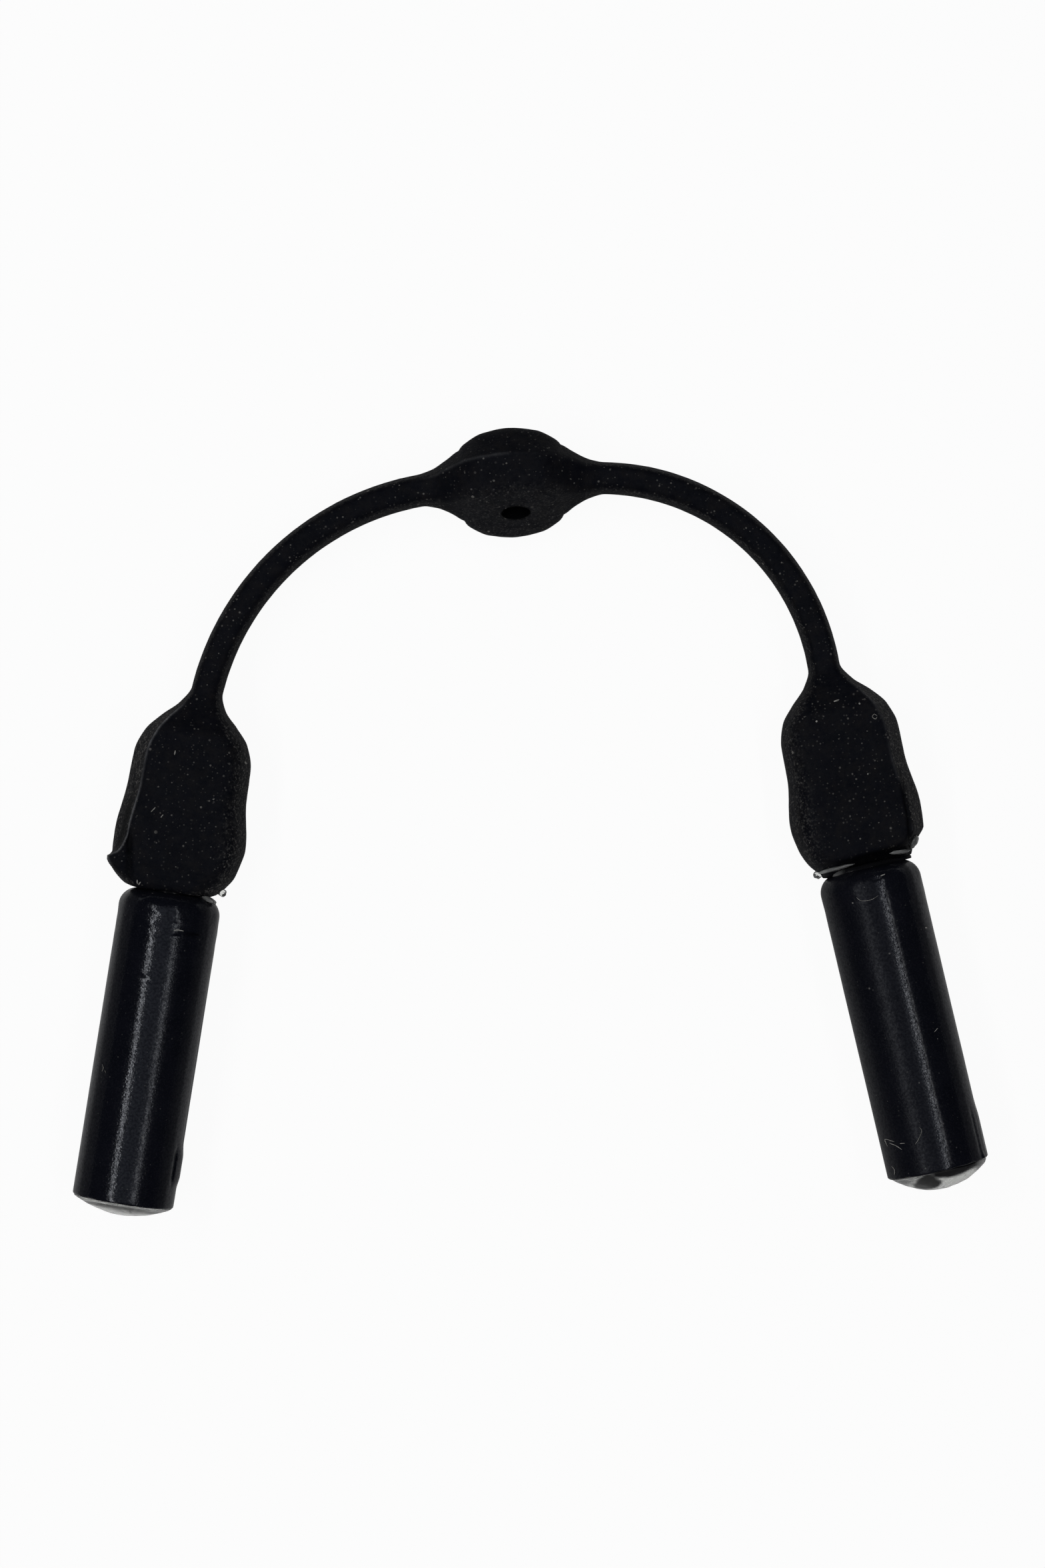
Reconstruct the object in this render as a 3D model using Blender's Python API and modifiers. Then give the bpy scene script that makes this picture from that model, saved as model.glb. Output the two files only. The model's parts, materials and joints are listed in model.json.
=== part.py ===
"""Eyeglass retainer strap: a small moulded silicone strap that ends in two sleeved rods.

The strap lies bent into a U on its back, with +Z up and the U open towards -Y. The origin is the
centre of the centre boss's flat back. Everything is in metres. The silicone is one moulding on the
real strap; here it is cut at four thin places, where it bends most easily, so that each bend is a
hinge about Z: one beside each side of the boss and one at the neck of each paddle.
"""

import math

import bmesh
import bpy
from mathutils import Matrix, Vector

MM = 0.001

# Overall layout. Distances "along" run down the strap's centreline from the middle of the boss.
MID_HEIGHT = 2.5 * MM  # the strap's middle plane, which is also the height of the rods' axes
BOSS_STRAIGHT = 2.2 * MM  # along: where the boss's own centreline stops being straight
BOSS_END = 4.6 * MM  # along: where the boss has narrowed to the plain strap
ROOT_HINGE = 5.2 * MM  # along: the bend beside the boss
NECK_HINGE_BACK = 0.4 * MM  # from the bend above the paddle to where the paddle starts to widen
NECK_RUN = 1.6 * MM  # the stretch in which the neck finishes its turn
PADDLE_LENGTH = 9.75 * MM
HINGE_GAP = 0.3 * MM  # between the two halves of a bend
FIT_GAP = 0.1 * MM  # between pieces that touch on the real strap

# How each side lies: the droop beside the boss, the arm's arc, the neck's last turn and the angle
# at which the rod was bonded on. "neck" is the place along where the paddle starts to widen.
SIDES = {
    "left": {
        "sign": -1,
        "droop": math.radians(7.0),
        "radius": 13.2 * MM,
        "turn": math.radians(65.2),
        "neck": 19.7 * MM,
        "neck_turn": math.radians(4.6),
        "rod_turn": math.radians(0.5),
        "seal_height": 0.45 * MM,
    },
    "right": {
        "sign": 1,
        "droop": math.radians(4.6),
        "radius": 11.1 * MM,
        "turn": math.radians(77.5),
        "neck": 20.0 * MM,
        "neck_turn": math.radians(-0.5),
        "rod_turn": math.radians(-1.3),
        "seal_height": 0.9 * MM,
    },
}

# The strap's section is a hexagon with rounded corners, widest at its middle plane. The front
# face is inset from the widest line, more on the outer side of the U. At the boss the inner side
# slopes down past the middle plane.
STRAP_HALF_WIDTH = 0.775 * MM
SECTION_KEYS = ("half_width", "half_height", "outer_inset", "inner_inset", "back_inset", "inner_level")
PLAIN_SECTION = (STRAP_HALF_WIDTH, 1.0 * MM, 0.25 * MM, 0.30 * MM, 0.30 * MM, 0.0)
BOSS_SECTIONS = (
    (0.0 * MM, (2.74 * MM, 2.5 * MM, 1.35 * MM, 2.40 * MM, 0.80 * MM, -1.40 * MM)),
    (1.3 * MM, (2.54 * MM, 2.5 * MM, 1.25 * MM, 2.10 * MM, 0.75 * MM, -1.20 * MM)),
    (2.2 * MM, (2.04 * MM, 2.1 * MM, 0.90 * MM, 1.55 * MM, 0.60 * MM, -0.80 * MM)),
    (3.1 * MM, (1.30 * MM, 1.5 * MM, 0.50 * MM, 0.80 * MM, 0.45 * MM, -0.30 * MM)),
    (3.9 * MM, (0.90 * MM, 1.1 * MM, 0.35 * MM, 0.40 * MM, 0.35 * MM, 0.0)),
    (BOSS_END, PLAIN_SECTION),
)
PADDLE_HALF_HEIGHT = 1.8 * MM
PADDLE_SECTIONS = (  # by distance from the neck
    (0.0 * MM, PLAIN_SECTION),
    (1.2 * MM, (1.52 * MM, 1.35 * MM, 0.45 * MM, 0.45 * MM, 0.45 * MM, 0.0)),
    (2.4 * MM, (2.66 * MM, PADDLE_HALF_HEIGHT, 0.75 * MM, 0.60 * MM, 0.60 * MM, 0.0)),
    (3.6 * MM, (3.00 * MM, PADDLE_HALF_HEIGHT, 0.80 * MM, 0.60 * MM, 0.60 * MM, 0.0)),
    (5.2 * MM, (3.04 * MM, PADDLE_HALF_HEIGHT, 0.80 * MM, 0.60 * MM, 0.60 * MM, 0.0)),
    (7.5 * MM, (3.33 * MM, PADDLE_HALF_HEIGHT, 0.80 * MM, 0.60 * MM, 0.60 * MM, 0.0)),
    (8.8 * MM, (3.15 * MM, PADDLE_HALF_HEIGHT, 0.80 * MM, 0.60 * MM, 0.60 * MM, 0.0)),
    (9.4 * MM, (2.78 * MM, 1.70 * MM, 0.75 * MM, 0.60 * MM, 0.60 * MM, 0.0)),
    (PADDLE_LENGTH, (2.27 * MM, 1.40 * MM, 0.70 * MM, 0.60 * MM, 0.60 * MM, 0.0)),
)
PADDLE_FOOT = 1.2 * MM  # the rounded end of the paddle, which takes closer sections
CORNER_SHARE = 0.3  # how much of a section's shorter edge each rounded corner takes
CORNER_STEPS = 2
BOSS_RINGS = 13  # on each side of its middle
ARM_RINGS = 16
PADDLE_RINGS = 18
FOOT_RINGS = 5
KNUCKLE_DEGREES = (14, 30, 47, 64, 78)  # where the sections of a half-round knuckle lie
SOCKET_CUT = 10 * MM  # the length of the cutter for a knuckle's socket
SHARP_ANGLE = math.radians(30)

# The hole through the boss, square to its sloping inner side.
HOLE_RADIUS = 0.7 * MM
HOLE_MOUTH = Vector((0.1 * MM, -1.49 * MM, 3.05 * MM))
HOLE_SLOPE = math.radians(60)
HOLE_CUT = 16 * MM  # the drill's length

# Each rod: a shrunk sleeve round a solid core, bonded to the paddle and sealed at its free end.
BOND_LENGTH = 0.35 * MM  # between the paddle's end and the sleeve's top
SLEEVE_LENGTH = 15.7 * MM
SLEEVE_RADIUS = 2.5 * MM
SLEEVE_WALL = 0.45 * MM
SHOULDER_RADIUS = 0.9 * MM
MOUTH_RADIUS = 1.5 * MM
CORE_RADIUS = 2.0 * MM
CORE_TOP = 3.0 * MM  # below the sleeve's top
CORE_LENGTH = 11.7 * MM
CORE_CHAMFER = 0.3 * MM
BOND_COLLAR_RADIUS = 2.0 * MM
SEAL_RADIUS = 2.4 * MM
LATHE_STEPS = 36
ARC_STEPS = 4

MATERIALS = {
    "black_silicone": {"color": (0.012, 0.012, 0.013), "roughness": 0.75, "metallic": 0.0},
    "black_sleeve": {"color": (0.010, 0.011, 0.014), "roughness": 0.32, "metallic": 0.0},
    "clear_adhesive": {"color": (0.62, 0.63, 0.60), "roughness": 0.15, "metallic": 0.0},
    "core_steel": {"color": (0.55, 0.55, 0.56), "roughness": 0.30, "metallic": 1.0},
}


def clear_scene():
    for old in list(bpy.data.objects):
        bpy.data.objects.remove(old)


def make_collection(name):
    collection = bpy.data.collections.new(name)
    bpy.context.scene.collection.children.link(collection)
    return collection


def make_material(name):
    """A plain Principled material from the table above, made once."""
    material = bpy.data.materials.get(name)
    if material is None:
        look = MATERIALS[name]
        material = bpy.data.materials.new(name)
        material.use_nodes = True
        shader = material.node_tree.nodes["Principled BSDF"]
        shader.inputs["Base Color"].default_value = (*look["color"], 1.0)
        shader.inputs["Roughness"].default_value = look["roughness"]
        shader.inputs["Metallic"].default_value = look["metallic"]
    return material


def add_object(name, mesh, collection, material=None, parent=None):
    part = bpy.data.objects.new(name, mesh)
    collection.objects.link(part)
    if material:
        mesh.materials.append(make_material(material))
    part.parent = parent
    return part


def add_frame(name, place, collection, parent=None):
    """An empty at a place given in the part's frame. Each bend's empty sits on its hinge's axis."""
    frame = add_object(name, None, collection, parent=parent)
    frame.location = place - origin_of(parent)
    return frame


def origin_of(frame):
    """Where an empty is in the part's frame. Only the rods' own empties are turned."""
    place = Vector((0, 0, 0))
    while frame:
        place += frame.location
        frame = frame.parent
    return place


def smooth_value(knots, at):
    """A value read from (place, value) knots with a cubic that never overshoots them."""
    places = [place for place, _ in knots]
    values = [value for _, value in knots]
    if at <= places[0]:
        return values[0]
    if at >= places[-1]:
        return values[-1]
    slopes = [(values[i + 1] - values[i]) / (places[i + 1] - places[i]) for i in range(len(knots) - 1)]
    tangents = [0.0]
    for before, after in zip(slopes, slopes[1:]):
        tangents.append(2 * before * after / (before + after) if before * after > 0 else 0.0)
    tangents.append(0.0)
    i = max(k for k in range(len(slopes)) if places[k] <= at)
    span = places[i + 1] - places[i]
    t = (at - places[i]) / span
    return (
        (2 * t**3 - 3 * t**2 + 1) * values[i]
        + (t**3 - 2 * t**2 + t) * span * tangents[i]
        + (3 * t**2 - 2 * t**3) * values[i + 1]
        + (t**3 - t**2) * span * tangents[i + 1]
    )


def paddle_end(side):
    return SIDES[side]["neck"] + PADDLE_LENGTH


def neck_hinge(side):
    return SIDES[side]["neck"] - NECK_HINGE_BACK


def paddle_stations(side):
    return [(SIDES[side]["neck"] + place, sizes) for place, sizes in PADDLE_SECTIONS]


def section_at(stations, along):
    """The section's six sizes at a place along the centreline."""
    sizes = (smooth_value([(place, size[k]) for place, size in stations], along) for k in range(6))
    return dict(zip(SECTION_KEYS, sizes))


def spine(side, along):
    """(point, downward angle) on one side's centreline, in the strap's middle plane."""
    bend = SIDES[side]
    stretches = (
        (BOSS_STRAIGHT, 0.0),
        (BOSS_END - BOSS_STRAIGHT, bend["droop"]),
        (bend["radius"] * bend["turn"], bend["turn"]),
        (NECK_RUN, bend["neck_turn"]),
    )
    x, y, angle, left = 0.0, 0.0, 0.0, along
    for length, turn in stretches:
        run = min(left, length)
        turned = turn * run / length
        chord = run if turned == 0 else 2 * run / turned * math.sin(turned / 2)
        x += chord * math.cos(angle + turned / 2)
        y -= chord * math.sin(angle + turned / 2)
        angle += turned
        left -= run
    x += left * math.cos(angle)
    y -= left * math.sin(angle)
    return Vector((bend["sign"] * x, y, MID_HEIGHT)), angle


def section_ring(side, along, sizes):
    """The rounded hexagon at a place along the centreline, as points in the part's frame."""
    point, angle = spine(side, along)
    outer = Vector((SIDES[side]["sign"] * math.sin(angle), math.cos(angle), 0))
    up = Vector((0, 0, 1))
    wide, high = sizes["half_width"], sizes["half_height"]
    corners = [
        (wide, 0.0),
        (wide - sizes["outer_inset"], high),
        (sizes["inner_inset"] - wide, high),
        (-wide, sizes["inner_level"]),
        (sizes["back_inset"] - wide, -high),
        (wide - sizes["back_inset"], -high),
    ]
    corners = [outer * across + up * rise for across, rise in corners]
    ring = []
    for k, corner in enumerate(corners):
        before, after = corners[k - 1] - corner, corners[(k + 1) % len(corners)] - corner
        reach = CORNER_SHARE * min(before.length, after.length)
        start, end = before.normalized() * reach, after.normalized() * reach
        for step in range(CORNER_STEPS + 1):
            t = step / CORNER_STEPS
            ring.append(point + corner + start * (1 - t) ** 2 + end * t**2)
    return ring


def shade(mesh):
    mesh.shade_smooth()
    mesh.set_sharp_from_angle(angle=SHARP_ANGLE)


def loft(name, rings, collection, material, parent):
    """A closed solid through rings that all have the same number of points."""
    bm = bmesh.new()
    origin = origin_of(parent)
    loops = [[bm.verts.new(point - origin) for point in ring] for ring in rings]
    for first, second in zip(loops, loops[1:]):
        for k in range(len(first)):
            bm.faces.new((first[k - 1], first[k], second[k], second[k - 1]))
    bm.faces.new(loops[0])
    bm.faces.new(loops[-1])
    bmesh.ops.recalc_face_normals(bm, faces=bm.faces)
    mesh = bpy.data.meshes.new(name)
    bm.to_mesh(mesh)
    bm.free()
    shade(mesh)
    return add_object(name, mesh, collection, material, parent)


def knuckle_rings(side, hinge, stations):
    """Rings that close a strap end in a half-round about a hinge, from its tip up to the hinge."""
    sizes = section_at(stations, hinge)
    rings = []
    for degrees in KNUCKLE_DEGREES:
        share = math.sin(math.radians(degrees))
        narrow = {key: size * share for key, size in sizes.items()}
        narrow["half_height"] = sizes["half_height"]
        back = sizes["half_width"] * math.cos(math.radians(degrees))
        rings.append(section_ring(side, hinge - back, narrow))
    return rings


def stretch_rings(side, start, end, count, stations):
    places = [start + (end - start) * k / count for k in range(count + 1)]
    return [section_ring(side, place, section_at(stations, place)) for place in places]


def cut(part, cutter, name):
    boolean = part.modifiers.new(name, "BOOLEAN")
    boolean.operation = "DIFFERENCE"
    boolean.object = cutter


def cylinder_cutter(name, radius, depth, matrix, collection):
    bm = bmesh.new()
    bmesh.ops.create_cone(bm, cap_ends=True, segments=24, radius1=radius, radius2=radius, depth=depth)
    mesh = bpy.data.meshes.new(name)
    bm.to_mesh(mesh)
    bm.free()
    cutter = add_object(name, mesh, collection)
    cutter.matrix_world = matrix
    cutter.hide_render = True
    cutter.display_type = "WIRE"
    return cutter


def hinge_socket(part, side, hinge, cutters):
    """Hollows the parent's end of a bend round the hinge, so that the knuckle can turn in it."""
    point, _ = spine(side, hinge)
    cutter = cylinder_cutter(
        f"{part.name}_{side}_socket",
        STRAP_HALF_WIDTH + HINGE_GAP,
        SOCKET_CUT,
        Matrix.Translation(point),
        cutters,
    )
    cut(part, cutter, f"{side}_socket")


def make_boss(parts, cutters, parent):
    """The oval bead in the middle of the strap, with the hole through it."""
    left = stretch_rings("left", ROOT_HINGE, 0.0, BOSS_RINGS, BOSS_SECTIONS)
    right = stretch_rings("right", 0.0, ROOT_HINGE, BOSS_RINGS, BOSS_SECTIONS)
    boss = loft("centre_boss", left + right[1:], parts, "black_silicone", parent)
    for side in SIDES:
        hinge_socket(boss, side, ROOT_HINGE, cutters)
    turn = Matrix.Rotation(HOLE_SLOPE, 4, "X")
    drill = cylinder_cutter(
        "boss_hole_drill", HOLE_RADIUS, HOLE_CUT, Matrix.Translation(HOLE_MOUTH) @ turn, cutters
    )
    cut(boss, drill, "tether_hole")


def make_arm(side, parts, cutters, parent):
    """The plain stretch of strap between the two bends of one side."""
    rings = knuckle_rings(side, ROOT_HINGE, BOSS_SECTIONS)
    rings += stretch_rings(side, ROOT_HINGE, neck_hinge(side), ARM_RINGS, BOSS_SECTIONS)
    arm = loft(f"{side}_strap_arm", rings, parts, "black_silicone", parent)
    hinge_socket(arm, side, neck_hinge(side), cutters)


def make_paddle(side, parts, parent):
    """The thick flat end of the strap, from the neck's bend to the face that is bonded to the rod."""
    stations = paddle_stations(side)
    foot = paddle_end(side) - PADDLE_FOOT
    rings = knuckle_rings(side, neck_hinge(side), stations)
    rings += stretch_rings(side, neck_hinge(side), foot, PADDLE_RINGS, stations)
    rings += stretch_rings(side, foot, paddle_end(side), FOOT_RINGS, stations)[1:]
    loft(f"{side}_paddle", rings, parts, "black_silicone", parent)


def arc_points(centre, radius, start, end):
    """Points on an arc in a lathe profile, as (radius, height); angles in degrees."""
    angles = [math.radians(start + (end - start) * k / ARC_STEPS) for k in range(ARC_STEPS + 1)]
    return [(centre[0] + radius * math.cos(a), centre[1] + radius * math.sin(a)) for a in angles]


def turned(name, profile, material, collection, parent, closed=False):
    """A turned solid about local Z. Its profile runs from the top down the outer side."""
    mesh = bpy.data.meshes.new(name)
    edges = [(k, k + 1) for k in range(len(profile) - 1)]
    if closed:
        edges.append((len(profile) - 1, 0))
    mesh.from_pydata([(radius, 0, height) for radius, height in profile], edges, [])
    part = add_object(name, mesh, collection, material, parent)
    screw = part.modifiers.new("turn", "SCREW")
    screw.steps = LATHE_STEPS
    screw.render_steps = LATHE_STEPS
    screw.use_merge_vertices = True
    screw.merge_threshold = 1e-7
    solid = part.evaluated_get(bpy.context.evaluated_depsgraph_get())
    part.data = bpy.data.meshes.new_from_object(solid)
    part.modifiers.clear()
    shade(part.data)
    return part


def rod_frame(side, collection, parent):
    """An empty at the top of a rod's sleeve whose -Z runs down the rod."""
    point, angle = spine(side, paddle_end(side) + BOND_LENGTH)
    angle += SIDES[side]["rod_turn"]
    sign = SIDES[side]["sign"]
    down = Vector((sign * math.cos(angle), -math.sin(angle), 0))
    frame = add_frame(f"{side}_rod_frame", point, collection, parent)
    frame.rotation_mode = "QUATERNION"
    frame.rotation_quaternion = (-down).to_track_quat("Z", "Y")
    return frame


def make_rod(side, parts, parent):
    """The sleeve, the core inside it, the bond to the paddle and the seal at the free end."""
    frame = rod_frame(side, parts, parent)
    bore = SLEEVE_RADIUS - SLEEVE_WALL
    shoulder = (SLEEVE_RADIUS - SHOULDER_RADIUS, -SHOULDER_RADIUS)
    outside = arc_points(shoulder, SHOULDER_RADIUS, 90, 0)
    inside = arc_points(shoulder, SHOULDER_RADIUS - SLEEVE_WALL, 0, 90)
    ends = [(SLEEVE_RADIUS, -SLEEVE_LENGTH), (bore, -SLEEVE_LENGTH)]
    mouth = [(MOUTH_RADIUS, -SLEEVE_WALL), (MOUTH_RADIUS, 0.0)]
    sleeve = outside + ends + inside + mouth
    turned(f"{side}_sleeve", sleeve, "black_sleeve", parts, frame, closed=True)

    top, bottom = -CORE_TOP, -CORE_TOP - CORE_LENGTH
    core = [
        (0.0, top),
        (CORE_RADIUS - CORE_CHAMFER, top),
        (CORE_RADIUS, top - CORE_CHAMFER),
        (CORE_RADIUS, bottom + CORE_CHAMFER),
        (CORE_RADIUS - CORE_CHAMFER, bottom),
        (0.0, bottom),
    ]
    turned(f"{side}_core", core, "core_steel", parts, frame)

    throat = MOUTH_RADIUS - FIT_GAP
    bond = [(0.0, BOND_LENGTH - FIT_GAP)]
    bond += [(BOND_COLLAR_RADIUS, BOND_LENGTH - FIT_GAP), (BOND_COLLAR_RADIUS, FIT_GAP)]
    bond += [(throat, FIT_GAP), (throat, -SLEEVE_WALL - FIT_GAP)]
    bond += arc_points(shoulder, SHOULDER_RADIUS - SLEEVE_WALL - FIT_GAP, 90, 0)
    bond += [(bore - FIT_GAP, FIT_GAP - CORE_TOP), (0.0, FIT_GAP - CORE_TOP)]
    turned(f"{side}_bond", bond, "clear_adhesive", parts, frame)

    rise = SIDES[side]["seal_height"]
    ball = (SEAL_RADIUS**2 + rise**2) / (2 * rise)
    spread = math.degrees(math.asin(SEAL_RADIUS / ball))
    rim = -SLEEVE_LENGTH - FIT_GAP
    dome = arc_points((0.0, rim - rise + ball), ball, -90 + spread, -90)
    seal = [(0.0, bottom - FIT_GAP), (bore - FIT_GAP, bottom - FIT_GAP), (bore - FIT_GAP, rim)]
    turned(f"{side}_end_seal", seal + dome[:-1] + [(0.0, rim - rise)], "clear_adhesive", parts, frame)


def main():
    clear_scene()
    parts = make_collection("retainer_strap")
    cutters = make_collection("cutters")
    frame = add_frame("strap_frame", Vector((0, 0, 0)), parts)
    make_boss(parts, cutters, frame)
    for side in SIDES:
        arm_bend = add_frame(f"{side}_arm_bend", spine(side, ROOT_HINGE)[0], parts, frame)
        neck_bend = add_frame(f"{side}_neck_bend", spine(side, neck_hinge(side))[0], parts, arm_bend)
        make_arm(side, parts, cutters, arm_bend)
        make_paddle(side, parts, neck_bend)
        make_rod(side, parts, neck_bend)


main()
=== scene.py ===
"""Looks for the eyeglass retainer strap: a moulded silicone strap with a shrink-sleeved rod on each end.

Lengths in the tables and helpers are in millimetres, in the CAD's own frame: +Z up, the U open
towards -Y, the origin at the centre of the boss's flat back. Meshes are made in metres at the end.
"""

import json
import math

import bmesh
import bpy
import numpy as np
from mathutils import Matrix, Vector, noise


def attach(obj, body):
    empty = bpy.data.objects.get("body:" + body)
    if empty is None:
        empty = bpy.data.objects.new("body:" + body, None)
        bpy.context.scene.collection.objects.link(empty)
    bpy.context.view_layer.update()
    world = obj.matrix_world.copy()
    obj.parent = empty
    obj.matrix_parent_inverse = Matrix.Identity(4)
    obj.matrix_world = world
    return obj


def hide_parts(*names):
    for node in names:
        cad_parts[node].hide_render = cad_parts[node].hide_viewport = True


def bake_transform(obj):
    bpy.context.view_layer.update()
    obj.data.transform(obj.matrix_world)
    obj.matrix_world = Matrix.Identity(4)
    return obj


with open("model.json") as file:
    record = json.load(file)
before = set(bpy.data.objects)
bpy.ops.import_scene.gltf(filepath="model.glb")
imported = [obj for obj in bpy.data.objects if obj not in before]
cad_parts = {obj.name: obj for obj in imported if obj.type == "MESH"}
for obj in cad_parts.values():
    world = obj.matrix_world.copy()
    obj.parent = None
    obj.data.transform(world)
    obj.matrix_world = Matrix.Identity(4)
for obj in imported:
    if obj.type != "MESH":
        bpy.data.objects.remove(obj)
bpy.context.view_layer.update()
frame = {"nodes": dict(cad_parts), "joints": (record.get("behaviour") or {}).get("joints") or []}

MM = 0.001

# Layout of the centreline, as in the CAD.
MID_HEIGHT = 2.5
BOSS_STRAIGHT = 2.2
BOSS_END = 4.6
ROOT_HINGE = 5.2
NECK_HINGE_BACK = 0.4
NECK_RUN = 1.6
PADDLE_LENGTH = 9.75
BOND_LENGTH = 0.35
SHOWN_PADDLE = {"left": 10.0, "right": 10.05}  # where the paddle's foot starts to round over
FOOT_DEPTH = 0.12  # how far the rounding goes on
FOOT_SHEAR = {"left": 0.0, "right": -0.065}  # the foot's slant, per mm across
SIDES = {  # turns in degrees: the boss's droop, the arm's arc, the neck, and the rod from the paddle
    "left": dict(sign=-1, droop=7.0, radius=13.2, turn=65.2, neck=19.7, neck_turn=4.6, rod_turn=0.5),
    "right": dict(sign=1, droop=4.6, radius=11.1, turn=77.5, neck=20.0, neck_turn=-0.5, rod_turn=-1.3),
}

# Sections by distance along: half width outside and inside, half height, the front's inset outside
# and inside, the back's inset, the widest line's level above the middle inside and outside, and the
# share of its edge that the front corner's rounding takes outside and inside.
BOSS_ROWS = (
    (0.0, 2.6, 2.68, 2.5, 1.35, 2.4, 0.8, -1.2, 1.3, 0.16, 0.45),
    (1.3, 2.42, 2.5, 2.5, 1.25, 2.1, 0.75, -1.05, 1.2, 0.16, 0.45),
    (2.2, 1.97, 2.06, 2.1, 0.9, 1.55, 0.6, -0.7, 0.85, 0.18, 0.4),
    (2.6, 1.63, 1.71, 1.8, 0.7, 1.15, 0.52, -0.5, 0.6, 0.2, 0.4),
    (3.1, 1.28, 1.36, 1.5, 0.5, 0.8, 0.45, -0.25, 0.35, 0.25, 0.4),
    (3.9, 0.89, 0.97, 1.1, 0.35, 0.4, 0.35, 0.0, 0.1, 0.3, 0.4),
    (4.6, 0.775, 0.8, 1.0, 0.25, 0.3, 0.3, 0.0, 0.0, 0.3, 0.4),
)
PADDLE_ROWS = {  # by distance from the neck; the widest lines stay at the middle's level
    "left": (
        (0.0, 0.79, 0.77, 1.0, 0.25, 0.3, 0.3, 0.3, 0.4),
        (0.8, 1.18, 1.07, 1.2, 0.38, 0.38, 0.38, 0.15, 0.4),
        (1.6, 2.02, 1.78, 1.5, 0.6, 0.5, 0.5, 0.1, 0.42),
        (2.4, 2.66, 2.45, 1.8, 0.78, 0.6, 0.6, 0.08, 0.45),
        (3.5, 3.02, 2.8, 1.8, 0.84, 0.64, 0.6, 0.08, 0.45),
        (5.1, 3.08, 2.86, 1.8, 0.86, 0.66, 0.6, 0.08, 0.45),
        (7.5, 3.3, 3.2, 1.8, 0.84, 0.66, 0.6, 0.08, 0.45),
        (8.2, 3.27, 3.08, 1.8, 0.66, 0.62, 0.6, 0.08, 0.45),
        (8.6, 3.24, 2.98, 1.79, 0.36, 0.61, 0.6, 0.1, 0.45),
        (8.82, 3.4, 2.92, 1.78, 0.1, 0.6, 0.6, 0.12, 0.45),
        (9.05, 3.33, 2.82, 1.74, 0.1, 0.6, 0.6, 0.2, 0.45),
        (9.4, 3.08, 2.58, 1.72, 0.25, 0.6, 0.6, 0.25, 0.45),
        (9.7, 2.8, 2.36, 1.68, 0.4, 0.6, 0.6, 0.25, 0.45),
        (9.88, 2.58, 2.14, 1.62, 0.45, 0.6, 0.6, 0.3, 0.45),
        (10.02, 2.38, 1.9, 1.52, 0.45, 0.6, 0.6, 0.3, 0.45),
    ),
    "right": (
        (0.0, 0.78, 0.8, 1.0, 0.25, 0.3, 0.3, 0.3, 0.4),
        (0.8, 1.21, 1.16, 1.2, 0.38, 0.38, 0.38, 0.18, 0.4),
        (1.6, 2.04, 1.94, 1.5, 0.58, 0.5, 0.5, 0.14, 0.42),
        (2.4, 2.66, 2.58, 1.8, 0.74, 0.6, 0.6, 0.12, 0.45),
        (3.5, 2.97, 2.88, 1.8, 0.8, 0.64, 0.6, 0.12, 0.45),
        (5.1, 2.99, 2.92, 1.8, 0.82, 0.66, 0.6, 0.12, 0.45),
        (7.5, 3.25, 3.27, 1.8, 0.8, 0.66, 0.6, 0.12, 0.45),
        (8.66, 3.18, 3.09, 1.8, 0.76, 0.6, 0.6, 0.12, 0.45),
        (9.1, 2.92, 2.9, 1.8, 0.7, 0.6, 0.6, 0.16, 0.45),
        (9.4, 2.68, 2.7, 1.72, 0.6, 0.6, 0.6, 0.25, 0.45),
        (9.6, 2.46, 2.52, 1.38, 0.5, 0.55, 0.6, 0.3, 0.45),
        (9.9, 2.36, 2.3, 1.05, 0.45, 0.5, 0.5, 0.3, 0.45),
        (10.1, 2.28, 2.18, 0.85, 0.45, 0.5, 0.5, 0.3, 0.45),
    ),
}
RIDGES = {  # height of the crest, depth of the fold beside it, the crest's reach from the neck
    "left": (0.075, 0.15, (0.2, 1.0, 8.9, 9.3)),
    "right": (0.035, 0.09, (0.6, 1.6, 8.3, 8.9)),
}
DUST_END = {"left": (8.75, 8.95), "right": (8.65, 8.85)}  # past this the outer side is clean
RING_STEP = 0.12
PADDING = 0.02  # of a spare ring beyond each end of a stretch, for its normals
CORNER_POINTS = (6, 12, 9, 6, 4, 4)
EDGE_POINTS = (14, 34, 14, 6, 10, 6)
FRONT_OUTER = 1  # the corner whose crisp edge carries the moulding line, drawn pale: partly dust, partly a painted highlight

# Where the strap is split into pieces. Each bend lies between two cuts.
BOSS_CUT = 3.6
ARM_CUT = 12.0
ROOT_BEND = (3.8, 7.4)
NECK_BEND = (-2.4, 2.0)  # from the neck hinge

# The hole through the boss.
HOLE_RADIUS = 0.71
HOLE_SQUASH = 0.72
HOLE_MOUTH = Vector((0.1, -1.39, 3.05))
HOLE_SLOPE = math.radians(60)

# Rods.
SLEEVE_LENGTH = {"left": 15.32, "right": 15.17}
SLEEVE_RADIUS = 2.5
SLEEVE_WALL = 0.45
SLEEVE_BORE = SLEEVE_RADIUS - SLEEVE_WALL
SHOULDER_RADIUS = 0.9
MOUTH_RADIUS = 1.5
SLEEVE_ROUND = 200
SLEEVE_STEP = 0.11
CORE_END = 14.8
SEAL_RADIUS = 2.42
SEAL_RISE = {"left": 0.62, "right": 0.98}  # how far the dome stands out
ADHESIVE_ROUND = 96
SQUEEZED = {  # where the bond spreads: angle and spread in degrees, how far, how clear it is there; where it is not clear it is painted dark as shade
    "left": ((78, 26, 0.5, 0.5),),
    # the second is a dark filler of painted shade, closing the gap under the paddle
    "right": ((-62, 30, 0.45, 0.4), (86, 26, 0.8, 0)),
}


# ---- shapes ----


def smooth(low, high, value):
    t = np.clip((value - low) / (high - low), 0, 1)
    return t * t * (3 - 2 * t)


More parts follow.
